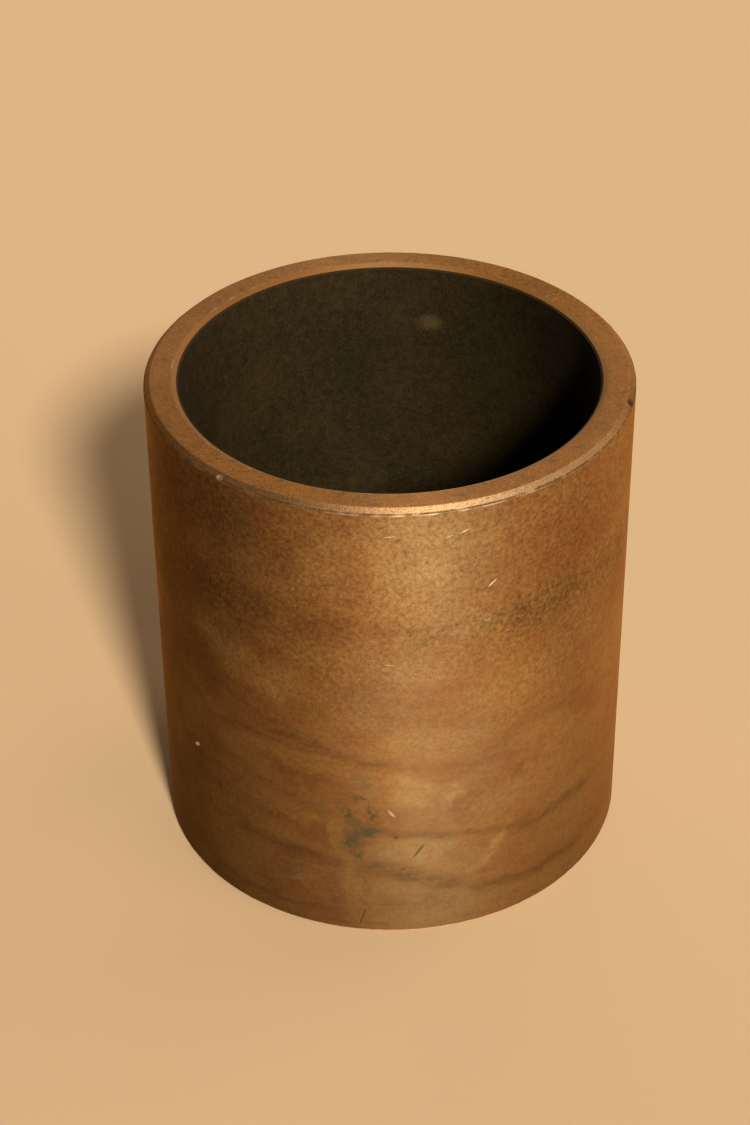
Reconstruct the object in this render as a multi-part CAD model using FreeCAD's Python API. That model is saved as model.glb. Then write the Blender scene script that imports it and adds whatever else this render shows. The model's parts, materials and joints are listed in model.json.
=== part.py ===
import FreeCAD, Part
import os

# A plain bronze sleeve bushing with a thin dark bearing lining in its bore.
# Frame: +Z up along the bore axis, origin at the centre of the lower end.
# Every length is in millimetres.

INCH = 25.4

# Driving dimensions
outer_diameter = 2.625 * INCH
bore_diameter = 2.25 * INCH
length = 2.875 * INCH
lining_thickness = 0.30
rim_chamfer = INCH / 32
mouth_chamfer_radial = 1.00
mouth_chamfer_axial = 0.65

# Radii that follow from them
outer_radius = outer_diameter / 2
bore_radius = bore_diameter / 2
seat_radius = bore_radius + lining_thickness
mouth_radius = bore_radius + mouth_chamfer_radial
face_radius = outer_radius - rim_chamfer

# The mouth's cone crosses the joint between lining and bronze at this depth.
joint_depth = mouth_chamfer_axial * (mouth_radius - seat_radius) / mouth_chamfer_radial


def turned_ring(profile):
    """Revolve a closed outline of (radius, height) points about the Z axis."""
    points = [FreeCAD.Vector(radius, 0, height) for radius, height in profile]
    face = Part.Face(Part.makePolygon(points + points[:1]))
    return face.revolve(FreeCAD.Vector(0, 0, 0), FreeCAD.Vector(0, 0, 1), 360)


def mirrored_ends(lower_half):
    """Complete an outline whose upper end is the mirror image of its lower end."""
    upper_half = [(radius, length - height) for radius, height in reversed(lower_half)]
    return lower_half + upper_half


def bronze_sleeve():
    """The bronze shell: flat end faces, a chamfer at each rim and each bore mouth."""
    inner_corner = [(seat_radius, joint_depth), (mouth_radius, 0)]
    outer_corner = [(face_radius, 0), (outer_radius, rim_chamfer)]
    return turned_ring(mirrored_ends(inner_corner + outer_corner))


def bore_lining():
    """The lining: a thin tube bonded to the bronze, its ends cut by the mouth's cone."""
    lower_end = [(bore_radius, mouth_chamfer_axial), (seat_radius, joint_depth)]
    return turned_ring(mirrored_ends(lower_end))


def write_parts():
    os.makedirs("parts", exist_ok=True)
    nodes = {
        "bronze_sleeve": bronze_sleeve(),
        "bore_lining": bore_lining(),
    }
    for name, shape in nodes.items():
        solid = Part.Solid(shape.Shells[0])
        solid.exportStep(os.path.join("parts", name + ".step"))
        print(name, "valid", solid.isValid(), "volume", round(solid.Volume, 2))


write_parts()
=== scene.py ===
import json
import math

import bpy
import numpy as np
from mathutils import Matrix, Vector


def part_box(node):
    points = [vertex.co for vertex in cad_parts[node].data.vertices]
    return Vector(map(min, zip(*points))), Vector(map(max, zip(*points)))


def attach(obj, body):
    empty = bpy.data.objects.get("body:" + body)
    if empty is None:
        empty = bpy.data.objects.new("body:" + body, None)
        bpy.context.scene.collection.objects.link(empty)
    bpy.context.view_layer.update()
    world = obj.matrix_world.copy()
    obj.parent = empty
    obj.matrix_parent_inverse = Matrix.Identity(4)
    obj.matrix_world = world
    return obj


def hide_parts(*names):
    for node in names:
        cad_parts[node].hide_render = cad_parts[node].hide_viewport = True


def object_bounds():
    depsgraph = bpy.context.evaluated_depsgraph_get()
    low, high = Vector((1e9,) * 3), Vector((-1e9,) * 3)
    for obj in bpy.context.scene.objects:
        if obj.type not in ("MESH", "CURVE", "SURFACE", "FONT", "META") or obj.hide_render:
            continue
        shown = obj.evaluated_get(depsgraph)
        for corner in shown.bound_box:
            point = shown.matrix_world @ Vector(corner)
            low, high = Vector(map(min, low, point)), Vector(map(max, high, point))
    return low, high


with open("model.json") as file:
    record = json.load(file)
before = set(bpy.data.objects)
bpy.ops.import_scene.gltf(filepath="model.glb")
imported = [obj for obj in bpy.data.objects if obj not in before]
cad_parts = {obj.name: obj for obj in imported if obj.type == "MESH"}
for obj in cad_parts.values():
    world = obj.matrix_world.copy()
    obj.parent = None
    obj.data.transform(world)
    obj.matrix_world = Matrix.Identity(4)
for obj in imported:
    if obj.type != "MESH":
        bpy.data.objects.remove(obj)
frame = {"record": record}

# ---------------------------------------------------------------------------
# Sizes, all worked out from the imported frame. MM turns millimetres to metres.
# ---------------------------------------------------------------------------
MM = 0.001
CAD_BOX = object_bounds()


def mount(name):
    """The record's mount of that name."""
    return next(m for m in frame["record"]["mounts"] if m["name"] == name)


SLEEVE_LOW, SLEEVE_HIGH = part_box("bronze_sleeve")
LENGTH = (SLEEVE_HIGH.z - SLEEVE_LOW.z) / MM
OUTER_R = mount("housing_fit")["dims"]["r_mm"]
BORE_R = mount("bore")["dims"]["r_mm"]
SEAT_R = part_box("bore_lining")[1].x / MM
RIM_CHAMFER = (LENGTH - mount("housing_fit")["dims"]["length_mm"]) / 2
MOUTH_DEPTH = (LENGTH - mount("bore")["dims"]["length_mm"]) / 2
FACE_R = OUTER_R - RIM_CHAMFER
MOUTH_R = 2 * mount("top_face")["pos_m"][0] / MM - FACE_R
JOINT_DEPTH = MOUTH_DEPTH * (MOUTH_R - SEAT_R) / (MOUTH_R - BORE_R)

# ---------------------------------------------------------------------------
# Mesh density: points around, growth of the steps along a run, and steps of a corner.
# ---------------------------------------------------------------------------
AROUND = 640
STEP_GROWTH = 1.5
FILLET_STEPS = 4
# Fine and coarse step of a run that is never seen, in mm.
HIDDEN_RUN = (9.0, 9.0)
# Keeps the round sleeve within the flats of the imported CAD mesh, in mm.
ROUND_ALLOWANCE = 0.012


class RingNoise:
    """Smooth random values on a lattice that closes on itself around the ring."""

    def __init__(self, seed, around, along):
        self.values = np.random.default_rng(seed).uniform(-1, 1, (around, along + 2))
        self.around = around
        self.along = along

    def __call__(self, azimuth, share):
        """Values from -1 to 1 at an azimuth in radians and a share of the way along, 0 to 1."""
        a = (azimuth / (2 * math.pi)) % 1 * self.around
        b = np.clip(share, 0, 1) * self.along
        ia, ib = np.floor(a).astype(int), np.floor(b).astype(int)
        fa, fb = smooth(a - ia), smooth(b - ib)
        ja = (ia + 1) % self.around
        low = self.values[ia % self.around, ib] * (1 - fa) + self.values[ja, ib] * fa
        high = self.values[ia % self.around, ib + 1] * (1 - fa) + self.values[ja, ib + 1] * fa
        return low * (1 - fb) + high * fb


def smooth(x):
    """Smoothstep from 0 to 1, clipped outside."""
    x = np.clip(x, 0, 1)
    return x * x * (3 - 2 * x)


def bump_at(x, centre, half_width):
    """A bell that is 1 at the centre and 0 beyond half_width."""
    return smooth(1 - np.abs(x - centre) / half_width)


def graded_steps(length, fine, coarse):
    """Distances along a straight run, in fine steps at its ends and coarse ones between."""
    steps = [fine]
    while sum(steps) < length / 2:
        steps.append(min(steps[-1] * STEP_GROWTH, coarse))
    half = np.cumsum(steps)
    half = half * (length / 2) / half[-1]
    return np.concatenate([half, length - half[-2::-1]])[:-1]


def rounded_outline(corners):
    """Points and outward normals of a closed outline whose corners are rounded.

    Each corner is (radius, height, fillet, fine and coarse step of the run after it, zone of
    that run). Returns arrays of r, z, normal r, normal z, and the list of zones.
    """
    count = len(corners)
    points, normals, zones = [], [], []
    for i, (r, z, fillet, (fine, coarse), zone) in enumerate(corners):
        here = Vector((r, z))
        before = Vector(corners[i - 1][:2])
        after = Vector(corners[(i + 1) % count][:2])
        into = (here - before).normalized()
        out = (after - here).normalized()
        turn = into.angle_signed(out)
        reach = fillet * math.tan(abs(turn) / 2)
        normal_in = Vector((into.y, -into.x))
        normal_out = Vector((out.y, -out.x))
        for k in range(FILLET_STEPS + 1):
            t = k / FILLET_STEPS
            normal = normal_in.slerp(normal_out, t)
            centre = here - into * reach - normal_in * fillet
            points.append(centre + normal * fillet)
            normals.append(normal)
            zones.append(zone if t > 0.5 else corners[i - 1][4])
        next_fillet = corners[(i + 1) % count][2]
        following = Vector(corners[(i + 2) % count][:2])
        next_turn = abs(out.angle_signed((following - after).normalized()))
        run = (after - here).length - reach - next_fillet * math.tan(next_turn / 2)
        start = here + out * reach
        for distance in graded_steps(run, fine, coarse):
            points.append(start + out * float(distance))
            normals.append(normal_out)
            zones.append(zone)
    r = np.array([p.x for p in points])
    z = np.array([p.y for p in points])
    return r, z, np.array([n.x for n in normals]), np.array([n.y for n in normals]), zones


def ring_mesh(name, outline, inset, attributes):
    """A closed ring: the outline revolved, each point moved inwards along its normal by inset.

    inset and every attribute are arrays with a row for each outline point and a column
    for each azimuth. Azimuth 0 faces -Y, and it grows towards +X.
    """
    r, z, normal_r, normal_z, _ = outline
    azimuth = AZIMUTH[None, :]
    radius = r[:, None] - inset * normal_r[:, None]
    height = z[:, None] - inset * normal_z[:, None]
    co = np.stack([radius * np.sin(azimuth), -radius * np.cos(azimuth), height + 0 * azimuth], -1)
    rows, columns = len(r), AROUND
    i = np.arange(rows)[:, None]
    j = np.arange(columns)[None, :]
    i_next, j_next = (i + 1) % rows, (j + 1) % columns
    quads = np.stack([i * columns + j, i * columns + j_next,
                      i_next * columns + j_next, i_next * columns + j], -1)
    mesh = bpy.data.meshes.new(name)
    mesh.vertices.add(rows * columns)
    mesh.vertices.foreach_set("co", (co * MM).reshape(-1))
    mesh.loops.add(rows * columns * 4)
    mesh.loops.foreach_set("vertex_index", quads.reshape(-1))
    mesh.polygons.add(rows * columns)
    mesh.polygons.foreach_set("loop_start", np.arange(rows * columns) * 4)
    mesh.update(calc_edges=True)
    mesh.validate()
    for label, values in attributes.items():
        values = np.broadcast_to(values, (rows, columns)).reshape(-1)
        layer = mesh.attributes.new(label, "FLOAT", "POINT")
        layer.data.foreach_set("value", values.astype(np.float32))
    mesh.shade_smooth()
    piece = bpy.data.objects.new(name, mesh)
    bpy.context.scene.collection.objects.link(piece)
    return piece


AZIMUTH = np.linspace(0, 2 * math.pi, AROUND, endpoint=False)


def azimuth_gap(centre_deg):
    """Signed distance around the ring from an azimuth, in degrees."""
    return (np.degrees(AZIMUTH) - centre_deg + 180) % 360 - 180


def bump_around(centre_deg, half_width, shift=0):
    """A bell around an azimuth, as a row; shift moves it by that many degrees at each point."""
    return bump_at(azimuth_gap(centre_deg)[None, :] + shift, 0, half_width)


# ---------------------------------------------------------------------------
# The bronze sleeve
# ---------------------------------------------------------------------------
# Knocks on the upper rim: azimuth, across the chamfer (0 at the wall, 1 at the face),
# half width in degrees, half height in mm, depth in mm, brightness of the bared metal, which is
# painted as a silvery glint.
RIM_KNOCKS = (
    (-41.6, 0.30, 0.9, 0.46, 0.26, 1.0),
    (-46.5, 0.05, 0.7, 0.20, 0.10, 0.15),
    (-52.0, 0.10, 0.6, 0.22, 0.08, 0.05),
    (76.0, 0.50, 1.2, 0.55, 0.30, 0.0),
    (112.0, 0.30, 0.7, 0.30, 0.14, 0.9),
    (158.0, 0.20, 0.9, 0.30, 0.12, 0.3),
    (-118.0, 0.40, 0.8, 0.35, 0.16, 0.5),
    (-83.0, 0.15, 0.6, 0.25, 0.10, 0.2),
)


# How far a patch reaches, in parts of its size: it is full up to one part less.
PATCH_REACH = 1.35
# Marks on the wall lie on it laid flat: millimetres around from azimuth 0, and height.
# Each patch is (around, height, half width, half height, tilt in degrees, strength).
PALE_PATCHES = (
    (-25.0, 45.8, 5.5, 2.6, -8, 0.58),
    (-16.5, 43.0, 3.6, 2.6, 0, 0.50),
    (-22.0, 42.4, 4.5, 2.0, 0, 0.45),
    (2.0, 46.5, 5.0, 4.0, 0, 0.15),
    (16.0, 42.0, 8.0, 5.0, 0, 0.28),
    # These two patches paint a highlight on the upper middle of the wall.
    (2.0, 65.5, 8.0, 10.0, 0, 0.34),
    (-9.5, 64.0, 5.0, 9.0, 0, 0.30),
    (1.8, 26.8, 3.4, 2.8, -10, 0.40),
    (8.0, 26.6, 1.6, 2.2, 0, 0.30),
    (22.0, 30.0, 6.0, 4.0, 0, 0.30),
    (22.0, 24.0, 7.0, 4.0, 0, 0.16),
    (2.6, 15.4, 6.0, 2.4, -4, 0.36),
    (13.0, 12.3, 4.4, 0.75, 47, 0.55),
    (-8.4, 18.6, 0.75, 2.8, 6, 0.50),
    (-5.8, 9.5, 1.1, 6.5, 9, 0.26),
    (-12.6, 20.3, 3.6, 0.7, 2, 0.30),
    (-16.0, 16.4, 5.0, 1.4, -3, 0.25),
    (66.0, 30.0, 7.0, 4.0, 12, 0.40),
    (86.0, 16.0, 5.0, 3.0, -15, 0.40),
    (-70.0, 44.0, 7.0, 4.5, 8, 0.40),
    (-88.0, 24.0, 4.0, 6.0, 20, 0.40),
)
RED_PATCHES = (
    (-36.0, 57.0, 9.0, 15.0, 0, 0.72),
    (-36.0, 36.0, 6.0, 6.0, 0, 0.20),
    (28.0, 62.0, 12.0, 8.0, 0, 0.45),
    (-6.0, 54.0, 4.0, 3.0, 8, 0.25),
    (-3.0, 36.6, 4.5, 2.0, 0, 0.40),
    (12.0, 36.4, 8.0, 1.3, 0, 0.22),
    (10.3, 22.6, 2.8, 4.2, 8, 0.42),
    (-14.0, 18.0, 8.0, 3.0, -4, 0.35),
    (-1.5, 19.6, 3.6, 1.5, -12, 0.45),
    (52.0, 50.0, 8.0, 6.0, 0, 0.40),
    (95.0, 58.0, 8.0, 5.0, 5, 0.45),
    (-60.0, 18.0, 7.0, 4.0, -6, 0.40),
    (-96.0, 45.0, 6.0, 8.0, 0, 0.40),
)
DARK_PATCHES = (
    (-24.0, 54.4, 6.8, 2.7, -4, 0.54),
    (-10.5, 53.2, 5.6, 2.1, 4, 0.48),
    (3.0, 53.2, 6.0, 1.8, 0, 0.34),
    (21.5, 53.6, 12.0, 3.4, -2, 0.70),
    (38.0, 52.6, 10.0, 3.6, -3, 0.56),
    (-29.0, 67.5, 10.0, 5.0, 0, 0.50),
    (-39.0, 48.0, 3.5, 5.0, 0, 0.28),
    (10.2, 22.4, 2.6, 4.2, 8, 0.28),
    (-14.0, 27.0, 7.0, 2.4, -6, 0.24),
    (18.4, 26.3, 0.9, 1.7, -25, 0.60),
    (-28.0, 19.0, 9.0, 9.0, 0, 0.42),
    (-8.6, 6.6, 1.3, 1.3, 0, 0.60),
    # This patch paints shade low in the middle of the wall, where the light falls off towards the
    # foot.
    (4.5, 4.6, 5.0, 2.0, 0, 0.30),
    (-4.0, 21.0, 5.0, 4.4, 0, 0.34),
    (9.0, 15.0, 5.0, 2.6, 0, 0.18),
    (60.0, 52.0, 9.0, 3.0, 3, 0.45),
    (92.0, 50.0, 8.0, 3.4, -5, 0.50),
    (-62.0, 53.0, 9.0, 2.8, 2, 0.45),
    (-90.0, 55.0, 7.0, 3.2, -6, 0.45),
    (74.0, 12.0, 3.0, 1.6, 20, 0.50),
)
GREY_PATCHES = (
    (-4.5, 29.0, 1.2, 1.5, 0, 0.55),
    (-14.3, 8.6, 2.6, 0.9, 35, 0.60),
    (28.7, 3.0, 1.0, 0.8, 0, 0.50),
    (-7.6, 24.3, 1.0, 1.0, 0, 0.40),
    (58.0, 20.0, 2.2, 1.0, 15, 0.50),
    (-80.0, 60.0, 2.0, 1.2, -20, 0.45),
)


# Stretches of the way around, each with the azimuth of its middle and its half width, in
# degrees, and its strength: where the wall is darker (heavier tarnish, and at the left side painted
# shade away from the key light), where the wall is paler and bluer (thinner tarnish, and at the front
# a painted sheen where the highlight falls), and where the chamfers are brighter (rubbed metal, and
# at the front a painted highlight facing the key light).
TARNISH_AND_SHADE = ((-63.0, 43.0, 0.60), (128.0, 40.0, 0.35), (-160.0, 30.0, 0.30))
HANDLED_AND_SHEEN = ((9.0, 27.0, 1.0), (158.0, 24.0, 0.7), (-112.0, 22.0, 0.6))
POLISH_AND_HIGHLIGHT = ((22.0, 90.0, 1.0), (-36.0, 44.0, 0.48), (105.0, 60.0, 0.55), (172.0, 45.0, 0.40))


def wander(seed, azimuth, share):
    """A random shift of the places on the wall, in mm, so that no patch is a true ellipse."""
    coarse = RingNoise(seed, 42, 14)(azimuth, share)
    fine = RingNoise(seed + 1, 120, 40)(azimuth, share)
    return 1.1 * coarse + 0.6 * fine


def patch_mask(table, azimuth, height):
    """Strongest of a table's soft ellipses at each azimuth (radians) and height (mm)."""
    share = height / LENGTH
    around = ((azimuth + math.pi) % (2 * math.pi) - math.pi) * OUTER_R
    around = around + wander(90, azimuth, share)
    level = height + wander(92, azimuth, share)
    strongest = np.zeros(np.broadcast(azimuth, height).shape)
    for patch_around, patch_height, half_width, half_height, tilt, strength in table:
        turn = math.radians(tilt)
        da = around - patch_around
        dz = level - patch_height
        along = (da * math.cos(turn) + dz * math.sin(turn)) / half_width
        across = (dz * math.cos(turn) - da * math.sin(turn)) / half_height
        mask = smooth(PATCH_REACH - np.hypot(along, across))
        strongest = np.maximum(strongest, strength * mask)
    return strongest


def sleeve_outline():
    """The sleeve's outline, anticlockwise from the foot of the lower bore mouth."""
    top = LENGTH
    return rounded_outline([
        (SEAT_R, JOINT_DEPTH, 0.02, (0.20, 0.40), "mouth"),
        (MOUTH_R, 0, 0.10, (0.20, 1.00), "face"),
        (FACE_R, 0, 0.10, (0.15, 0.35), "chamfer"),
        (OUTER_R, RIM_CHAMFER, 0.12, (0.08, 1.15), "wall"),
        (OUTER_R, top - RIM_CHAMFER, 0.08, (0.07, 0.10), "chamfer"),
        (FACE_R, top, 0.42, (0.10, 0.35), "face"),
        (MOUTH_R, top, 0.10, (0.07, 0.12), "mouth"),
        (SEAT_R, top - JOINT_DEPTH, 0.02, HIDDEN_RUN, "seat"),
    ])


def corner_distance(outline, corner_r, corner_z):
    """Distance of each outline point from a corner, as a column."""
    return np.hypot(outline[0] - corner_r, outline[1] - corner_z)[:, None]


# Edges of the sleeve: radius, height, how far the wear reaches and how deep it is, in mm.
WORN_EDGES = (
    (OUTER_R, LENGTH - RIM_CHAMFER, 0.22, 0.030),
    (FACE_R, LENGTH, 0.25, 0.045),
    (MOUTH_R, LENGTH, 0.20, 0.040),
    (OUTER_R, RIM_CHAMFER, 0.30, 0.060),
    (FACE_R, 0, 0.25, 0.040),
    (MOUTH_R, 0, 0.20, 0.040),
)

# The lip at the top of the wall, painted as a silvery glint that is strongest where the key light's
# highlight falls, and the dirty groove beside it on the chamfer:
# height above the wall's edge and half width in mm, then the azimuth where it is strongest
# and how far it spreads from there, in degrees.
LIP = (-0.02, 0.07, 14.0, 42.0)
GROOVE = (0.12, 0.13, 20.0, 75.0)


class SleeveSurface:
    """The sleeve's surface, with a row for each outline point and a column for each azimuth.

    inset is how far each point is moved inwards, in mm. One mask says where metal is bared and
    painted as a silvery glint, and grime where dirt has settled, from 0 to 1.
    """

    def __init__(self, outline):
        self.outline = outline
        self.height = outline[1][:, None]
        self.share = self.height / LENGTH
        self.azimuth = AZIMUTH[None, :]
        zones = np.array(outline[4])[:, None]
        self.wall, self.chamfer, self.face, self.mouth, self.seat = (
            (zones == label).astype(float) for label in ("wall", "chamfer", "face", "mouth", "seat"))

        self.slow = RingNoise(1, 9, 5)(self.azimuth, self.share)
        self.medium = RingNoise(2, 60, 26)(self.azimuth, self.share)
        self.ragged = RingNoise(3, 300, 4)(self.azimuth, self.share)
        self.tooth = RingNoise(4, 520, 9)(self.azimuth, self.share)
        wall_wave = self.wall * (0.016 * (self.slow + 1) + 0.006 * (self.medium + 1))
        face_wave = self.face * 0.008 * (self.medium + 1)
        chamfer_wave = self.chamfer * (0.007 * (self.ragged + 1) + 0.010 * (self.medium + 1))
        self.inset = ROUND_ALLOWANCE + wall_wave + face_wave + chamfer_wave
        self.bare_and_glint = np.zeros_like(self.inset)
        self.grime = np.zeros_like(self.inset)

    def around_noise(self, seed, count):
        """Noise that is the same at every height."""
        return RingNoise(seed, count, 1)(self.azimuth, 0 * self.share)

    def wear_edges(self):
        """Wear each edge down, unevenly along it."""
        for number, (edge_r, edge_z, reach, depth) in enumerate(WORN_EDGES):
            near = smooth(1 - corner_distance(self.outline, edge_r, edge_z) / reach)
            uneven = 0.30 * self.around_noise(20 + number, 210)
            uneven = uneven + 0.35 * self.around_noise(40 + number, 24) + 0.25 * self.tooth
            self.inset = self.inset + near * depth * (0.55 + uneven)

    def cut_lip(self):
        """The lip that the chamfering cut left on the wall, painted as a bright glint mainly towards
        the key light, with a dirty groove beside it.
        """
        wall_top = LENGTH - RIM_CHAMFER
        noise = self.around_noise(60, 330)
        rise, half_width, centre, spread = LIP
        lip = bump_at(self.height, wall_top + rise, half_width) * (1 - self.seat) * (1 - self.mouth)
        # Painted glint: the lip is bright mainly around the azimuth where the key light's highlight
        # falls.
        wear_and_glint = 0.04 + 0.96 * bump_around(centre, spread)
        wear_and_glint = np.minimum(wear_and_glint + 0.14 * smooth(2 * self.around_noise(61, 30) - 0.6), 1)
        unbroken = smooth(0.50 + 0.8 * self.around_noise(62, 100) + 0.5 * noise)
        self.bare_and_glint = np.maximum(self.bare_and_glint, lip * (0.72 * unbroken * wear_and_glint))

        rise, half_width, centre, spread = GROOVE
        groove = np.minimum(1, 1.4 * bump_at(self.height, wall_top + rise, half_width))
        groove = groove * self.chamfer
        filled = 0.50 + 0.50 * bump_around(centre, spread)
        filled = filled * smooth(0.95 - 0.5 * noise + 0.5 * self.ragged)
        self.grime = np.maximum(self.grime, groove * filled)
        self.inset = self.inset + groove * 0.03 * smooth(0.4 - noise)

    def knock_rim(self):
        """Pits in the upper rim, with metal rolled up around each, bared with a painted silvery glint
        or dirty inside.
        """
        for centre, across, half_deg, half_mm, depth, shine in RIM_KNOCKS:
            knock_r = OUTER_R - across * RIM_CHAMFER
            knock_z = LENGTH - (1 - across) * RIM_CHAMFER
            radial = corner_distance(self.outline, knock_r, knock_z) / half_mm
            angular = np.abs(azimuth_gap(centre))[None, :] / half_deg
            away = np.hypot(radial, angular) + 0.18 * self.tooth
            pit = smooth(1.15 - away)
            rolled = bump_at(away, 1.25, 0.35)
            self.inset = self.inset + depth * pit - 0.04 * rolled * smooth(self.inset / 0.04)
            self.bare_and_glint = np.maximum(self.bare_and_glint, shine * smooth(1.5 - 1.3 * away))
            self.grime = np.maximum(self.grime, (1 - shine) * smooth(1.7 - 1.4 * away))

    def fray_mouth(self):
        """Fine burrs left where the bore's mouth meets the upper face."""
        mouth_edge = smooth(1 - corner_distance(self.outline, MOUTH_R, LENGTH) / 0.22)
        burrs = smooth(1.6 * self.around_noise(70, 420) - 0.2)
        self.inset = self.inset + mouth_edge * 0.05 * burrs
        self.bare_and_glint = np.maximum(self.bare_and_glint, 0.10 * mouth_edge * smooth(2.2 * self.ragged - 1.1))

    def polish_and_highlight(self):
        """How brightly each stretch of the chamfers shows: rubbed metal, and towards the front a
        painted highlight where the chamfer faces the key light.
        """
        polish_and_highlight = 0.04 + 0.14 * smooth(0.5 + self.around_noise(71, 11))
        for middle, half_width, strength in POLISH_AND_HIGHLIGHT:
            polish_and_highlight = np.maximum(polish_and_highlight, strength * bump_around(middle, half_width))
        return polish_and_highlight

    def upright_bands(self, table, wandering):
        """A table's bands on the wall, their sides wandering by a share of the full amount."""
        shift = wandering * (9 * self.medium + 14 * self.slow)
        bands = np.zeros_like(self.inset)
        for middle, half_width, strength in table:
            band = strength * bump_around(middle, half_width, shift)
            bands = np.maximum(bands, band * self.wall)
        return bands

    def patches(self, table):
        return self.wall * patch_mask(table, self.azimuth, self.height)


def bronze_sleeve_piece():
    """The sleeve with its worn edges, knocks and slightly uneven wall."""
    surface = SleeveSurface(sleeve_outline())
    surface.wear_edges()
    surface.cut_lip()
    surface.knock_rim()
    surface.fray_mouth()
    inset = np.maximum(surface.inset, 0) * (1 - surface.seat)
    return ring_mesh("bronze_shell", surface.outline, inset, {
        "bare_and_glint": surface.bare_and_glint,
        "polish_and_highlight": surface.polish_and_highlight(),
        "grime": surface.grime,
        "chamfer": surface.chamfer,
        "face": surface.face,
        "mouth": surface.mouth,
        "tarnish_and_shade": surface.upright_bands(TARNISH_AND_SHADE, 1.0),
        "handled_and_sheen": surface.upright_bands(HANDLED_AND_SHEEN, 0.35),
        "pale": surface.patches(PALE_PATCHES),
        "red": surface.patches(RED_PATCHES),
        "dark": surface.patches(DARK_PATCHES),
        "grey": surface.patches(GREY_PATCHES),
    })


# ---------------------------------------------------------------------------
# The bore lining
# ---------------------------------------------------------------------------
def lining_piece():
    """The thin lining tube, its bore faintly uneven and its cut ends slightly frayed."""
    top = LENGTH
    outline = rounded_outline([
        (BORE_R, MOUTH_DEPTH, 0.04, (0.10, 0.10), "end"),
        (SEAT_R, JOINT_DEPTH, 0.02, HIDDEN_RUN, "back"),
        (SEAT_R, top - JOINT_DEPTH, 0.02, (0.10, 0.10), "end"),
        (BORE_R, top - MOUTH_DEPTH, 0.04, (0.15, 1.20), "bore"),
    ])
    zones = outline[4]
    bore = np.array([s == "bore" for s in zones], float)[:, None]
    end = np.array([s == "end" for s in zones], float)[:, None]
    share = outline[1][:, None] / LENGTH
    azimuth = AZIMUTH[None, :]
    medium = RingNoise(80, 90, 60)(azimuth, share)
    fine = RingNoise(81, 330, 120)(azimuth, share)
    inset = bore * (0.010 * (medium + 1) + 0.005 * (fine + 1))
    inset = inset + end * 0.02 * (RingNoise(82, 330, 1)(azimuth, 0 * share) + 1)
    return ring_mesh("bore_liner", outline, inset, {"end": end})


# ---------------------------------------------------------------------------
# Node helpers
# ---------------------------------------------------------------------------
# A line on the wall has faded out at this many half thicknesses. Along its length it fades
# from LINE_FADE_START before each end to LINE_PAST_END beyond it, in mm.
LINE_REACH = 2.2
LINE_FADE_START = 3.5
LINE_PAST_END = 2.5

# The Mix node has a set of sockets for each data type; these are the colour ones.
MIX_COLOUR_A = 6
MIX_COLOUR_B = 7
MIX_COLOUR_RESULT = 2


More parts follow.
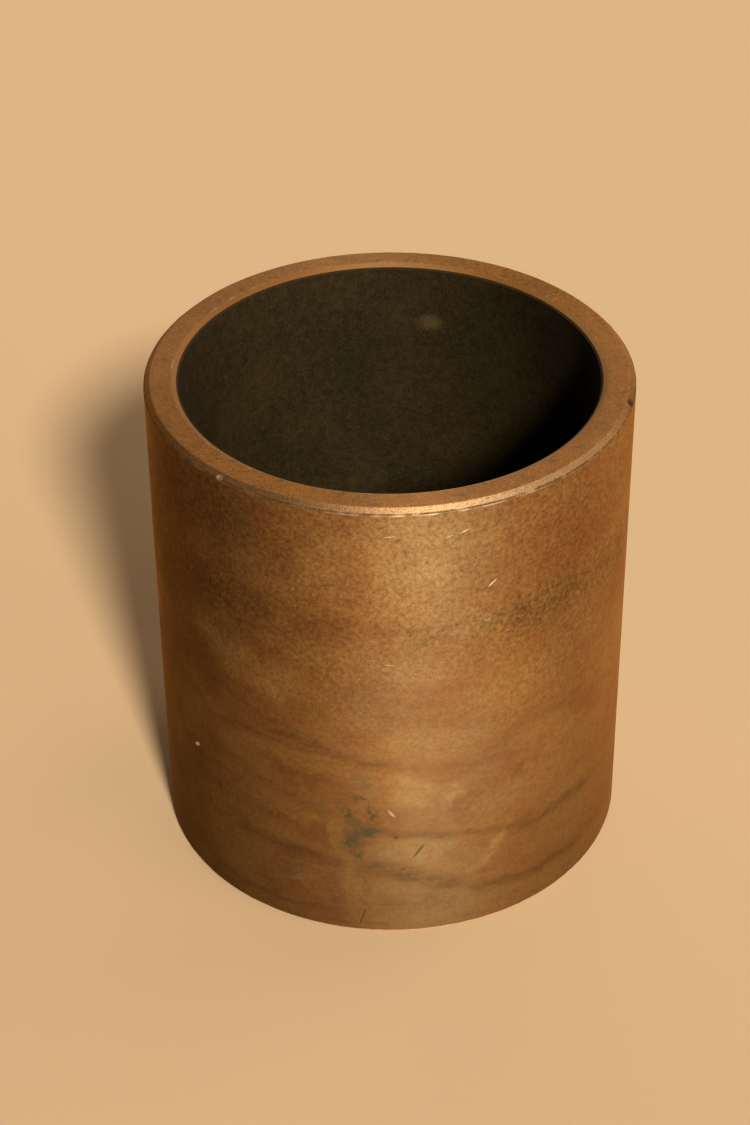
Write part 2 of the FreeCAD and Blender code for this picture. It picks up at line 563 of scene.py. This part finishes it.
class Shader:
    """A material's node tree with short calls for the nodes used here."""

    def __init__(self, name):
        self.material = bpy.data.materials.new(name)
        self.material.use_nodes = True
        self.tree = self.material.node_tree
        self.bsdf = self.tree.nodes["Principled BSDF"]
        coordinates = self.tree.nodes.new("ShaderNodeTexCoord")
        self.place = self.scaled(coordinates.outputs["Object"], 1 / MM)
        self.x, self.y, self.z = self.separate(self.place)

    def link(self, value, socket):
        if isinstance(value, bpy.types.NodeSocket):
            self.tree.links.new(value, socket)
        else:
            socket.default_value = value

    def vector_math(self, operation, *inputs):
        node = self.tree.nodes.new("ShaderNodeVectorMath")
        node.operation = operation
        for i, value in enumerate(inputs):
            self.link(value, node.inputs[i])
        return node.outputs["Value" if operation == "LENGTH" else "Vector"]

    def math(self, operation, *inputs, clamp=False):
        node = self.tree.nodes.new("ShaderNodeMath")
        node.operation = operation
        node.use_clamp = clamp
        for i, value in enumerate(inputs):
            self.link(value, node.inputs[i])
        return node.outputs[0]

    def separate(self, vector):
        node = self.tree.nodes.new("ShaderNodeSeparateXYZ")
        self.link(vector, node.inputs[0])
        return node.outputs[0], node.outputs[1], node.outputs[2]

    def scaled(self, vector, factor):
        scaled = self.vector_math("SCALE", vector)
        self.link(factor, scaled.node.inputs["Scale"])
        return scaled

    def combine(self, x, y, z):
        node = self.tree.nodes.new("ShaderNodeCombineXYZ")
        for i, value in enumerate((x, y, z)):
            self.link(value, node.inputs[i])
        return node.outputs[0]

    def stretched(self, sx, sy, sz):
        return self.vector_math("MULTIPLY", self.place, (sx, sy, sz))

    def noise(self, vector, scale, detail=2.0, roughness=0.5, distortion=0.0):
        node = self.tree.nodes.new("ShaderNodeTexNoise")
        self.link(vector, node.inputs["Vector"])
        node.inputs["Scale"].default_value = scale
        node.inputs["Detail"].default_value = detail
        node.inputs["Roughness"].default_value = roughness
        node.inputs["Distortion"].default_value = distortion
        return node.outputs["Fac"]

    def spread(self, value, low, high, to_low=0.0, to_high=1.0):
        """Smooth map of value from low..high onto to_low..to_high, clamped."""
        node = self.tree.nodes.new("ShaderNodeMapRange")
        node.interpolation_type = "SMOOTHSTEP"
        self.link(value, node.inputs["Value"])
        node.inputs["From Min"].default_value = low
        node.inputs["From Max"].default_value = high
        node.inputs["To Min"].default_value = to_low
        node.inputs["To Max"].default_value = to_high
        return node.outputs[0]

    def mix(self, factor, a, b, blend="MIX"):
        node = self.tree.nodes.new("ShaderNodeMix")
        node.data_type = "RGBA"
        node.blend_type = blend
        self.link(factor, node.inputs["Factor"])
        self.link(a, node.inputs[MIX_COLOUR_A])
        self.link(b, node.inputs[MIX_COLOUR_B])
        return node.outputs[MIX_COLOUR_RESULT]

    def attribute(self, name):
        node = self.tree.nodes.new("ShaderNodeAttribute")
        node.attribute_name = name
        return node.outputs["Fac"]

    def add(self, *values):
        total = values[0]
        for value in values[1:]:
            total = self.math("ADD", total, value)
        return total

    def times(self, *values):
        total = values[0]
        for value in values[1:]:
            total = self.math("MULTIPLY", total, value)
        return total

    def swing(self, noise, size):
        """How far a noise value is from its middle, times size."""
        return self.math("MULTIPLY", self.math("SUBTRACT", noise, 0.5), size)

    def unrolled(self):
        """The outside wall laid flat: (distance around from azimuth 0, height), in mm."""
        minus_y = self.math("MULTIPLY", self.y, -1.0)
        around = self.math("MULTIPLY", self.math("ARCTAN2", self.x, minus_y), OUTER_R)
        return self.combine(around, self.z, 0.0)

    def patches(self, flat, table, core, edge):
        """The strongest of a table's ellipses. It fades from core to edge, in parts of its size."""
        strongest = 0.0
        for around, height, half_width, half_height, tilt, strength in table:
            node = self.tree.nodes.new("ShaderNodeMapping")
            node.vector_type = "TEXTURE"
            self.link(flat, node.inputs["Vector"])
            node.inputs["Location"].default_value = (around, height, 0)
            node.inputs["Rotation"].default_value = (0, 0, math.radians(tilt))
            node.inputs["Scale"].default_value = (half_width, half_height, 1)
            reach = self.vector_math("LENGTH", node.outputs[0])
            strongest = self.math("MAXIMUM", strongest, self.spread(reach, edge, core, 0.0, strength))
        return strongest

    def lines(self, flat, table):
        """The strongest of a table's lines, each the parabola through its three places."""
        around, height, _ = self.separate(flat)
        strongest = 0.0
        for (a0, h0), (a1, h1), (a2, h2), half_thickness, strength in table:
            bend = ((h2 - h0) / (a2 - a0) - (h1 - h0) / (a1 - a0)) / (a2 - a1)
            slope = (h1 - h0) / (a1 - a0) - bend * (a0 + a1)
            level = h0 - slope * a0 - bend * a0 * a0
            curve = self.math("MULTIPLY_ADD", around, bend, slope)
            curve = self.math("MULTIPLY_ADD", around, curve, level)
            off = self.math("ABSOLUTE", self.math("SUBTRACT", height, curve))
            body = self.spread(off, LINE_REACH * half_thickness, 0.0, 0.0, strength)
            from_middle = self.math("ABSOLUTE", self.math("SUBTRACT", around, (a0 + a2) / 2))
            half_span = (a2 - a0) / 2
            ends = self.spread(from_middle, half_span + LINE_PAST_END, half_span - LINE_FADE_START)
            strongest = self.math("MAXIMUM", strongest, self.times(body, ends))
        return strongest

    def bump(self, height, distance_mm, strength=1.0, normal=None):
        node = self.tree.nodes.new("ShaderNodeBump")
        node.inputs["Strength"].default_value = strength
        node.inputs["Distance"].default_value = distance_mm * MM
        self.link(height, node.inputs["Height"])
        if normal is not None:
            self.link(normal, node.inputs["Normal"])
        return node.outputs[0]


def rgb(r, g, b):
    return (r, g, b, 1.0)


# ---------------------------------------------------------------------------
# Bronze
# ---------------------------------------------------------------------------
GOLD = rgb(0.288, 0.152, 0.049)
RED_BROWN = rgb(0.230, 0.094, 0.0285)
DARK_BROWN = rgb(0.074, 0.033, 0.0105)
GREY_GREEN = rgb(0.170, 0.118, 0.050)
CREAM = rgb(0.400, 0.245, 0.086)
FACE_BROWN = rgb(0.130, 0.053, 0.0112)
FACE_TAN = rgb(0.177, 0.075, 0.0168)
CHAMFER_GOLD = rgb(0.440, 0.245, 0.085)
# A pale gold for rubbed metal that also stands in for the whiter painted highlight on the chamfer's
# front.
RUBBED_GOLD_SHEEN = rgb(0.545, 0.380, 0.232)
CHAMFER_DULL = rgb(0.140, 0.068, 0.020)
CHAMFER_BRIGHT = rgb(0.310, 0.150, 0.045)
CRUST = rgb(0.029, 0.024, 0.0055)
# A near-white for bared metal, painted as a silvery glint.
SILVER_GLINT = rgb(0.790, 0.730, 0.640)
DIRT = rgb(0.020, 0.013, 0.006)

# Crusts and scratches on the wall laid flat, as the soft patches above.
GREEN_PATCHES = (
    (-3.8, 19.0, 3.1, 1.5, 12, 1.00),
    (-5.7, 17.3, 2.2, 3.0, 8, 1.00),
    (-3.0, 22.4, 0.60, 2.5, 4, 0.95),
    (-4.5, 25.2, 1.7, 0.60, -8, 0.90),
    (-6.3, 22.2, 0.9, 1.2, 0, 0.95),
    (-5.2, 20.4, 1.5, 1.6, 0, 0.80),
    (-5.0, 14.6, 0.9, 1.6, 14, 0.90),
    (-11.0, 23.2, 3.4, 1.1, -8, 0.45),
    (-8.4, 6.6, 1.2, 1.1, 0, 0.65),
    (-13.4, 9.0, 2.4, 0.7, 30, 0.35),
    (-70.0, 12.0, 2.6, 1.9, 20, 0.90),
    (-72.5, 15.0, 1.0, 2.2, -10, 0.80),
    (80.0, 36.0, 2.0, 1.4, 0, 0.60),
)
# Each dark line runs through three places: (around, height) three times, then its half
# thickness and strength.
DARK_LINES = (
    ((-19.0, 34.4), (-11.0, 33.0), (0.5, 31.1), 0.75, 0.85),
    ((-28.0, 31.0), (-20.0, 32.2), (-8.0, 32.4), 0.60, 0.60),
    ((-27.0, 38.5), (-18.0, 36.0), (-8.0, 33.0), 0.45, 0.45),
    ((-20.0, 29.2), (-13.0, 28.0), (-6.5, 26.2), 0.60, 0.60),
    ((-30.0, 26.6), (-20.0, 25.0), (-8.6, 22.2), 0.90, 0.55),
    ((-24.0, 19.2), (-18.0, 18.9), (-13.0, 18.0), 0.55, 0.45),
    ((-32.0, 17.8), (-26.0, 16.6), (-20.0, 16.0), 0.75, 0.50),
    ((-25.0, 14.4), (-15.0, 13.8), (-6.0, 12.4), 0.95, 0.90),
    ((-5.5, 12.2), (2.5, 10.8), (10.5, 8.2), 1.25, 1.00),
    ((-2.0, 20.1), (14.0, 16.7), (34.0, 16.2), 0.70, 0.80),
    ((10.0, 7.2), (19.0, 6.1), (31.0, 6.1), 0.85, 0.90),
    ((-30.0, 3.9), (-18.0, 3.3), (-7.5, 3.6), 0.45, 0.55),
    ((2.0, 30.8), (9.0, 30.2), (20.0, 29.4), 0.35, 0.35),
    ((-31.0, 51.7), (-18.0, 51.2), (-5.0, 51.5), 0.55, 0.40),
    ((8.0, 51.0), (20.0, 50.6), (36.0, 51.2), 0.55, 0.40),
    ((45.0, 33.0), (65.0, 31.0), (92.0, 34.0), 0.70, 0.65),
    ((50.0, 15.0), (70.0, 18.5), (98.0, 16.0), 0.80, 0.70),
    ((44.0, 7.5), (62.0, 6.6), (84.0, 8.4), 0.60, 0.55),
    ((60.0, 41.0), (74.0, 39.0), (90.0, 40.0), 0.40, 0.45),
    ((-100.0, 32.0), (-75.0, 34.5), (-46.0, 31.5), 0.80, 0.65),
    ((-98.0, 12.0), (-72.0, 8.5), (-44.0, 11.0), 0.80, 0.65),
    ((-84.0, 22.0), (-66.0, 24.0), (-46.0, 22.0), 0.50, 0.50),
)

# Scratches: around, height, half length, half width, tilt in degrees, strength.
LIGHT_SCRATCHES = (
    (-0.3, 69.0, 0.95, 0.07, 5, 0.80),
    (7.4, 68.5, 0.55, 0.06, 16, 0.50),
    (9.2, 68.9, 0.85, 0.07, 22, 0.75),
    (13.2, 59.8, 1.05, 0.10, 40, 1.00),
    (12.6, 54.0, 0.75, 0.07, 14, 0.55),
    (15.6, 51.3, 0.60, 0.06, 2, 0.40),
    (-0.4, 48.4, 0.90, 0.07, -8, 0.45),
    (-0.3, 22.7, 1.10, 0.32, -52, 0.26),
    (-32.2, 23.4, 0.95, 0.42, 32, 0.80),
    (60.0, 47.0, 2.00, 0.08, 12, 0.70),
    (88.0, 61.0, 1.60, 0.08, -20, 0.80),
    (-74.0, 38.0, 2.40, 0.07, 8, 0.70),
    (-56.0, 57.0, 1.40, 0.08, 35, 0.80),
    (-92.0, 66.0, 0.90, 0.08, 10, 0.80),
)
DARK_SCRATCHES = (
    (3.4, 15.6, 1.85, 0.27, 56, 0.85),
    (-4.5, 3.3, 2.10, 0.26, 74, 0.95),
    (0.2, 18.3, 0.46, 0.42, 0, 0.85),
    (1.2, 12.4, 0.36, 0.34, 0, 0.65),
    (12.0, 60.6, 0.55, 0.30, 30, 0.35),
    (76.0, 22.0, 2.00, 0.22, 66, 0.80),
    (-86.0, 50.0, 1.60, 0.20, -30, 0.80),
)


# Fine hue variation of the patina, and the paler, bluer tint of thinly tarnished bronze and of the
# painted sheen where the wall's highlight falls.
HUE_SWING = (0.55, 0.24, 1.10)
HUE_BASE = tuple(1 - swing / 2 for swing in HUE_SWING)
HANDLED_SHEEN_TINT = (0.89, 1.05, 1.42)
# How far a speck's brightness swings in red, green and blue, and the least it has: dark
# specks are redder.
SPECK_SWING = (1.85, 3.0, 3.4)
SPECK_LEAST = (0.35, 0.30, 0.28)
UNCHANGED = (1.0, 1.0, 1.0)
# How bright heavily tarnished bronze, and the painted shade on the wall's left side, are beside clean
# bronze.
TARNISHED_AND_SHADED = 0.35

# The finish of clean bronze.
ROUGHNESS = 0.73
METALLIC = 0.90
SPECULAR_LEVEL = 0.8
SPECULAR_TINT = rgb(1.0, 0.72, 0.45)
ANISOTROPY = 0.72
ACROSS_THE_MARKS = 0.25
# Depth of the grain and of the broader unevenness, in mm.
GRAIN_DEPTH = 0.028
STREAK_DEPTH = 0.030


class BronzeNoise:
    """The random patterns that the bronze's colour, finish and relief share."""

    def __init__(self, s):
        self.grain = s.noise(s.place, 1.6, 3, 0.64)
        self.grit = s.noise(s.place, 5.5, 2, 0.55)
        self.mottle = s.noise(s.stretched(1.0, 1.0, 1.3), 0.50, 4, 0.62, 0.2)
        self.broad = s.noise(s.stretched(0.8, 0.8, 1.4), 0.085, 3, 0.55, 0.4)
        self.streak = s.noise(s.stretched(0.16, 0.16, 1.6), 0.80, 4, 0.62, 0.3)
        self.wave = s.noise(s.place, 0.16, 2, 0.5)
        self.ragged = s.noise(s.place, 0.70, 4, 0.68)
        self.flecks = s.add(s.times(self.mottle, 0.5), s.times(self.grain, 0.5))
        # The upper part of the wall is grainy, the lower part smoother and streaked.
        self.grainy = s.spread(s.add(s.z, s.swing(self.broad, 30.0)), 26.0, 58.0)
        self.smoother = s.math("SUBTRACT", 1.0, self.grainy)
        self.grain_size = s.add(0.35, s.times(self.grainy, 0.65))
        # No two specks have quite the same hue.
        hue = s.noise(s.place, 1.5, 4, 0.75).node.outputs["Color"]
        self.hue = s.vector_math("MULTIPLY_ADD", hue, HUE_SWING, HUE_BASE)


def patina_colour(s, n, flat):
    """The wall's colour, and how much crust there is at each place on it."""
    crust_flat = s.combine(s.swing(n.ragged, 5.0), s.swing(n.mottle, 4.0), 0.0)
    crust_flat = s.vector_math("ADD", flat, crust_flat)
    line_flat = s.combine(0.0, s.add(s.swing(n.wave, 4.0), s.swing(n.ragged, 1.2)), 0.0)
    line_flat = s.vector_math("ADD", flat, line_flat)

    streaked = s.add(0.05, s.times(n.smoother, 0.35))
    tone = s.add(s.times(n.broad, 0.75), s.times(n.mottle, 0.40), s.swing(n.streak, streaked))
    patina = s.mix(s.spread(tone, 0.28, 0.78), RED_BROWN, GOLD)
    patchy = s.spread(n.ragged, 0.34, 0.60, 0.40, 1.15)
    patina = s.mix(s.times(s.attribute("red"), patchy), patina, RED_BROWN)
    patina = s.mix(s.times(s.attribute("pale"), patchy), patina, CREAM)

    shade = s.times(s.attribute("dark"), s.spread(n.flecks, 0.62, 0.40, 0.35, 1.0))
    breaks = s.add(s.times(n.streak, 0.5), s.times(n.mottle, 0.5))
    lines = s.times(s.lines(line_flat, DARK_LINES), s.spread(breaks, 0.40, 0.60, 0.30, 1.0))
    patina = s.mix(s.times(s.math("MAXIMUM", shade, lines), 0.62), patina, DARK_BROWN)
    patina = s.mix(s.times(s.spread(n.streak, 0.50, 0.68), n.smoother, 0.20), patina, RED_BROWN)

    crust = s.patches(crust_flat, GREEN_PATCHES, 0.30, 1.15)
    crust = s.times(crust, s.spread(n.flecks, 0.33, 0.52, 0.52, 1.0))
    patina = s.mix(crust, patina, CRUST)
    patina = s.mix(s.times(s.attribute("grey"), patchy), patina, GREY_GREEN)

    # Each speck is a little darker or brighter than the ground, and the foot is darker: painted shade
    # where the light falls off towards the bottom.
    specks = s.add(s.times(n.grain, 0.62), s.times(n.grit, 0.38))
    specks = s.swing(specks, n.grain_size)
    specks = s.vector_math("MULTIPLY_ADD", s.combine(specks, specks, specks), SPECK_SWING, UNCHANGED)
    patina = s.vector_math("MULTIPLY", patina, s.vector_math("MAXIMUM", specks, SPECK_LEAST))
    patina = s.scaled(patina, s.spread(s.z, -4.0, 32.0, 0.70, 1.0))
    patina = s.vector_math("MULTIPLY", patina, n.hue)

    # Painted shade: these bands darken the wall's left side, away from the key light, besides heavier
    # tarnish elsewhere.
    patina = s.mix(s.attribute("tarnish_and_shade"), patina, s.scaled(patina, TARNISHED_AND_SHADED))
    # Painted sheen: these bands pale and cool the wall where its highlight falls at the front,
    # besides thinner tarnish elsewhere.
    handled_and_sheen = s.vector_math("MULTIPLY", patina, HANDLED_SHEEN_TINT)
    return s.mix(s.attribute("handled_and_sheen"), patina, handled_and_sheen), crust


def face_colour(s, n):
    """The end faces: cleaner and more even than the wall, with small dark dashes."""
    tone = s.add(s.times(n.broad, 0.5), s.times(n.mottle, 0.3), s.times(n.grain, 0.2))
    face = s.mix(s.spread(tone, 0.40, 0.60), FACE_BROWN, FACE_TAN)
    dash = s.spread(s.noise(s.stretched(0.8, 1.5, 1.0), 0.70, 3, 0.6), 0.42, 0.35)
    face = s.mix(s.times(dash, 0.65), face, DARK_BROWN)
    face = s.mix(s.times(s.spread(n.grit, 0.62, 0.74), 0.12), face, RUBBED_GOLD_SHEEN)
    face = s.scaled(face, s.add(1.0, s.swing(n.grit, 1.8)))
    face = s.mix(0.45, face, s.vector_math("MULTIPLY", face, n.hue))
    # Painted shade: the face is lighter at the front right, towards the key light, and darker towards
    # the back left.
    front_right = s.add(s.x, s.times(s.y, -0.5))
    return s.scaled(face, s.spread(front_right, -OUTER_R, OUTER_R, 0.84, 1.12))


def with_chamfers(s, n, colour):
    """The colour with chamfers, gold where rubbed and where a painted highlight falls, dull
    elsewhere, and how strong that gold is.
    """
    chamfer = s.attribute("chamfer")
    mouth = s.attribute("mouth")
    polish_and_highlight = s.attribute("polish_and_highlight")
    speck = s.add(s.times(n.grain, 0.3), s.times(n.grit, 0.7))
    dull = s.mix(s.spread(speck, 0.34, 0.66), CHAMFER_DULL, CHAMFER_BRIGHT)
    # Painted highlight: the chamfer is brightened most towards the front, where it faces the key
    # light.
    dull = s.scaled(dull, s.add(0.55, s.times(polish_and_highlight, 0.60)))
    colour = s.mix(chamfer, colour, dull)
    colour = s.mix(mouth, colour, FACE_BROWN)
    # Painted highlight: the pale gold is strongest where the chamfer faces the key light.
    rub_and_highlight = s.times(s.spread(speck, 0.32, 0.60, 0.72, 1.0), polish_and_highlight)
    rub_and_highlight = s.times(rub_and_highlight, s.math("MAXIMUM", chamfer, s.times(mouth, 0.45)))
    gold = s.mix(rub_and_highlight, CHAMFER_GOLD, RUBBED_GOLD_SHEEN)
    gold = s.scaled(gold, s.add(1.0, s.swing(n.grit, 1.3)))
    return s.mix(rub_and_highlight, colour, gold), rub_and_highlight


def bronze_material():
    """Aged bronze: a grainy gold and red-brown patina with stains, lines and rubbed edges, with
    painted shade, sheen, highlights and glints.
    """
    s = Shader("aged_bronze")
    n = BronzeNoise(s)
    flat = s.unrolled()
    end_face = s.attribute("face")
    colour, crust = patina_colour(s, n, flat)
    colour = s.mix(end_face, colour, face_colour(s, n))
    colour, rub_and_highlight = with_chamfers(s, n, colour)

    outside = s.spread(s.vector_math("LENGTH", s.combine(s.x, s.y, 0.0)), FACE_R, OUTER_R - 0.3)
    light_marks = s.times(s.patches(flat, LIGHT_SCRATCHES, 0.3, 1.0), outside)
    dark_marks = s.times(s.patches(flat, DARK_SCRATCHES, 0.45, 1.0), outside)
    bare_and_glint = s.math("MAXIMUM", s.attribute("bare_and_glint"), light_marks)
    grime = s.attribute("grime")
    colour = s.mix(s.times(dark_marks, 0.85), colour, CRUST)
    colour = s.mix(s.times(grime, 0.72), colour, DIRT)
    # Painted glint: bared metal on the lip, knocks, burrs and light scratches is coloured near-white.
    colour = s.mix(bare_and_glint, colour, SILVER_GLINT)
    s.link(colour, s.bsdf.inputs["Base Color"])

    # Finish: the crust is dull, bared metal shines most, and the end faces are tarnished.
    worn = s.math("MAXIMUM", bare_and_glint, s.times(rub_and_highlight, 0.3))
    dirty = s.math("MAXIMUM", crust, s.times(dark_marks, 0.6))
    roughness = s.add(ROUGHNESS, s.times(n.grain, 0.12), s.times(dirty, 0.10),
                      s.times(worn, -0.30), s.times(grime, 0.2))
    s.link(roughness, s.bsdf.inputs["Roughness"])
    metallic = s.add(METALLIC, s.times(worn, 0.10), s.times(grime, 0.10))
    metallic = s.math("SUBTRACT", metallic, s.times(dirty, 0.85), clamp=True)
    flat_end = s.math("MAXIMUM", end_face, s.attribute("mouth"))
    metallic = s.times(metallic, s.math("SUBTRACT", 1.0, s.times(flat_end, 0.85)))
    s.link(metallic, s.bsdf.inputs["Metallic"])
    s.bsdf.inputs["Specular IOR Level"].default_value = SPECULAR_LEVEL
    s.bsdf.inputs["Specular Tint"].default_value = SPECULAR_TINT

    relief = s.add(s.times(n.grain, n.grain_size), s.times(n.grit, 0.35), s.times(crust, 0.8),
                   s.times(light_marks, -1.2), s.times(dark_marks, -1.6))
    normal = s.bump(relief, GRAIN_DEPTH, 0.8)
    normal = s.bump(s.add(n.streak, s.times(n.mottle, 0.5)), STREAK_DEPTH, 0.4, normal)
    s.link(normal, s.bsdf.inputs["Normal"])

    # Turning marks run around the axis, so a highlight is drawn out along it.
    around = s.tree.nodes.new("ShaderNodeTangent")
    around.direction_type = "RADIAL"
    around.axis = "Z"
    s.link(around.outputs[0], s.bsdf.inputs["Tangent"])
    s.bsdf.inputs["Anisotropic"].default_value = ANISOTROPY
    s.bsdf.inputs["Anisotropic Rotation"].default_value = ACROSS_THE_MARKS
    return s.material


# ---------------------------------------------------------------------------
# Lining compound
# ---------------------------------------------------------------------------
LINING_DARK = rgb(0.0092, 0.0072, 0.0023)
LINING_BROWN = rgb(0.0225, 0.0150, 0.0054)
LINING_SPECK = rgb(0.0370, 0.0245, 0.0095)
LINING_RUBBED = rgb(0.0600, 0.0410, 0.0180)
LINING_END = rgb(0.0220, 0.0120, 0.0050)
LINING_ROUGHNESS = 0.50
LINING_SPECULAR_LEVEL = 0.12
LINING_RELIEF = 0.05
# Laid out as the wall's patches are, but on the far side of the bore and with x for around.
RUBBED_PLACE = ((6.2, 63.8, 2.0, 1.6, 0, 1.0),)


def lining_material():
    """Dull brown-black lining, mottled olive, with one rubbed tan place."""
    s = Shader("lining_compound")
    mottle = s.noise(s.place, 0.85, 4, 0.62, 0.3)
    broad = s.noise(s.stretched(1, 1, 0.8), 0.10, 3, 0.55)
    fine = s.noise(s.place, 3.2, 3, 0.6)
    blotch = s.add(s.times(mottle, 0.45), s.times(broad, 0.35), s.times(fine, 0.20))
    colour = s.mix(s.spread(blotch, 0.36, 0.66), LINING_DARK, LINING_BROWN)
    colour = s.mix(s.times(s.spread(fine, 0.46, 0.72), 0.45), colour, LINING_SPECK)
    # Painted shade: it is a little darker towards the sides, away from where the key light falls
    # inside the bore.
    sideways = s.math("ABSOLUTE", s.add(s.x, 6.0))
    colour = s.scaled(colour, s.spread(sideways, 10.0, 34.0, 1.08, 0.70))

    far_side = s.spread(s.y, 10.0, 20.0)
    shift = s.combine(s.swing(mottle, 3.0), s.swing(fine, 3.0), 0.0)
    flat_far = s.vector_math("ADD", s.combine(s.x, s.z, 0.0), shift)
    wear_and_glint = s.times(s.patches(flat_far, RUBBED_PLACE, 0.3, 1.2), far_side)
    colour = s.mix(s.times(wear_and_glint, 0.7), colour, LINING_RUBBED)
    end = s.attribute("end")
    colour = s.mix(s.times(end, 0.8), colour, LINING_END)
    s.link(colour, s.bsdf.inputs["Base Color"])
    roughness = s.add(LINING_ROUGHNESS, s.times(mottle, 0.20), s.times(end, 0.35))
    s.link(roughness, s.bsdf.inputs["Roughness"])
    s.bsdf.inputs["Specular IOR Level"].default_value = LINING_SPECULAR_LEVEL
    relief = s.add(s.times(mottle, 0.7), s.times(fine, 0.3))
    s.link(s.bump(relief, LINING_RELIEF, 0.8), s.bsdf.inputs["Normal"])
    return s.material


# ---------------------------------------------------------------------------
# Stage, lights and camera
# ---------------------------------------------------------------------------
# Half the floor's side, in metres.
FLOOR_HALF = 12.0
FLOOR_COLOUR = rgb(0.47, 0.35, 0.225)
BACKDROP_COLOUR = rgb(0.50, 0.38, 0.25)
SURROUND_STRENGTH = 0.08

# Soft studio lights, each so far away that it lights the whole floor evenly: name, azimuth
# and elevation it comes from, how wide it looks (all in degrees), strength and colour.
LIGHTS = (
    ("key", 15.0, 36.6, 8.0, 5.9, (1.0, 0.86, 0.68)),
    ("right_fill", 55.0, 20.0, 40.0, 0.95, (1.0, 0.84, 0.66)),
    ("side_fill", 120.0, 20.0, 40.0, 1.30, (1.0, 0.79, 0.60)),
    ("back_fill", 172.0, 25.0, 40.0, 0.60, (1.0, 0.76, 0.54)),
    ("left_back_fill", 212.0, 25.0, 40.0, 0.50, (1.0, 0.75, 0.51)),
)


def floor_piece():
    """A plain pale floor under the sleeve."""
    mesh = bpy.data.meshes.new("floor")
    z = CAD_BOX[0][2]
    corners = [(-FLOOR_HALF, -FLOOR_HALF, z), (FLOOR_HALF, -FLOOR_HALF, z),
               (FLOOR_HALF, FLOOR_HALF, z), (-FLOOR_HALF, FLOOR_HALF, z)]
    mesh.from_pydata(corners, [], [(0, 1, 2, 3)])
    material = bpy.data.materials.new("pale_floor")
    material.use_nodes = True
    shader = material.node_tree.nodes["Principled BSDF"]
    shader.inputs["Base Color"].default_value = FLOOR_COLOUR
    shader.inputs["Roughness"].default_value = 0.9
    shader.inputs["Specular IOR Level"].default_value = 0.1
    mesh.materials.append(material)
    floor = bpy.data.objects.new("floor", mesh)
    bpy.context.scene.collection.objects.link(floor)
    return floor


def distant_light(name, azimuth, elevation, width, strength, colour):
    """A wide soft light far away, shining on the sleeve from an azimuth and elevation."""
    data = bpy.data.lights.new(name, "SUN")
    data.angle = math.radians(width)
    data.energy = strength
    data.color = colour
    light = bpy.data.objects.new(name, data)
    a, e = math.radians(azimuth), math.radians(elevation)
    towards = Vector((math.sin(a) * math.cos(e), -math.cos(a) * math.cos(e), math.sin(e)))
    light.location = towards
    light.rotation_euler = (-towards).to_track_quat("-Z", "Y").to_euler()
    bpy.context.scene.collection.objects.link(light)


def surround():
    """A pale backdrop behind the floor that itself lights the sleeve only faintly."""
    world = bpy.data.worlds.new("surround")
    world.use_nodes = True
    tree = world.node_tree
    background = tree.nodes["Background"]
    background.inputs["Color"].default_value = BACKDROP_COLOUR
    path = tree.nodes.new("ShaderNodeLightPath")
    strength = tree.nodes.new("ShaderNodeMath")
    strength.operation = "MAXIMUM"
    strength.inputs[1].default_value = SURROUND_STRENGTH
    tree.links.new(path.outputs["Is Camera Ray"], strength.inputs[0])
    tree.links.new(strength.outputs[0], background.inputs["Strength"])
    bpy.context.scene.world = world


# The camera: how far it looks down, its slight roll, its lens, and where the centre of
# the sleeve's upper end lies in its view (right, up, away), in outside radii.
LOOK_DOWN = math.radians(36.06)
ROLL = math.radians(-0.53)
LENS = 123.9
SENSOR_WIDTH = 36.0
TOP_IN_VIEW = (0.0593, 0.7812, 10.474)


def camera():
    """The camera at the photograph's viewing angle."""
    data = bpy.data.cameras.new("camera")
    data.sensor_fit = "HORIZONTAL"
    data.sensor_width = SENSOR_WIDTH
    data.lens = LENS
    data.clip_start = 0.01
    data.dof.use_dof = False
    forward = Vector((0, math.cos(LOOK_DOWN), -math.sin(LOOK_DOWN)))
    level_up = Vector((0, math.sin(LOOK_DOWN), math.cos(LOOK_DOWN)))
    level_right = Vector((1, 0, 0))
    right = level_right * math.cos(ROLL) + level_up * math.sin(ROLL)
    up = level_up * math.cos(ROLL) - level_right * math.sin(ROLL)
    top = Vector((0, 0, LENGTH * MM))
    unit = OUTER_R * MM
    place = top - (right * TOP_IN_VIEW[0] + up * TOP_IN_VIEW[1] + forward * TOP_IN_VIEW[2]) * unit
    turned = Matrix((right, up, -forward)).transposed().to_4x4()
    view = bpy.data.objects.new("camera", data)
    view.matrix_world = Matrix.Translation(place) @ turned
    bpy.context.scene.collection.objects.link(view)
    bpy.context.scene.camera = view


# ---------------------------------------------------------------------------
# Build
# ---------------------------------------------------------------------------
shell = bronze_sleeve_piece()
shell.data.materials.append(bronze_material())
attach(shell, "root")
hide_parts("bronze_sleeve")

liner = lining_piece()
liner.data.materials.append(lining_material())
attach(liner, "root")
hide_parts("bore_lining")

floor_piece()
for light_values in LIGHTS:
    distant_light(*light_values)
surround()
camera()
bpy.context.scene.view_settings.view_transform = "Standard"
